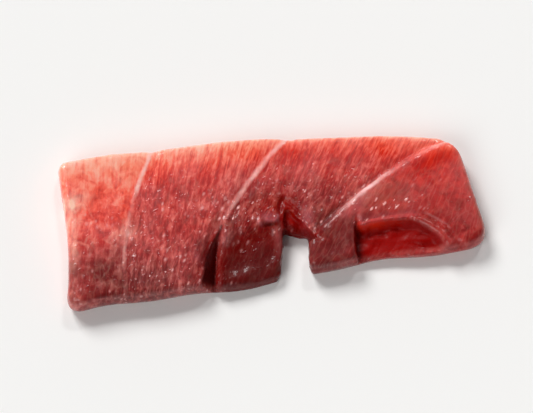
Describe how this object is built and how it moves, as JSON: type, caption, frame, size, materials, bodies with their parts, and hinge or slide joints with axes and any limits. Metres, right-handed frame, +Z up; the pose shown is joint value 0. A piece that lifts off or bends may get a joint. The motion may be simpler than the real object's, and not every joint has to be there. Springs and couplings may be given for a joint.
{
  "type": "raw tuna sashimi slice",
  "caption": "Single soft slice of fatty bluefin tuna belly, crossed by slanting white sinews, lying flat on its lower cut face.",
  "frame": {"origin": "centre of the bounding box in plan, on the lower cut face that the slice lies on", "axes": "+X along the slice towards its narrower end, +Y across it towards the unbroken long edge, +Z up out of the shown face"},
  "size_m": [0.1148, 0.0432, 0.0083],
  "materials": {
    "flesh": "gloss"
  },
  "bodies": {
    "root": {"tuna_slice": "flesh"}
  },
  "joints": []
}
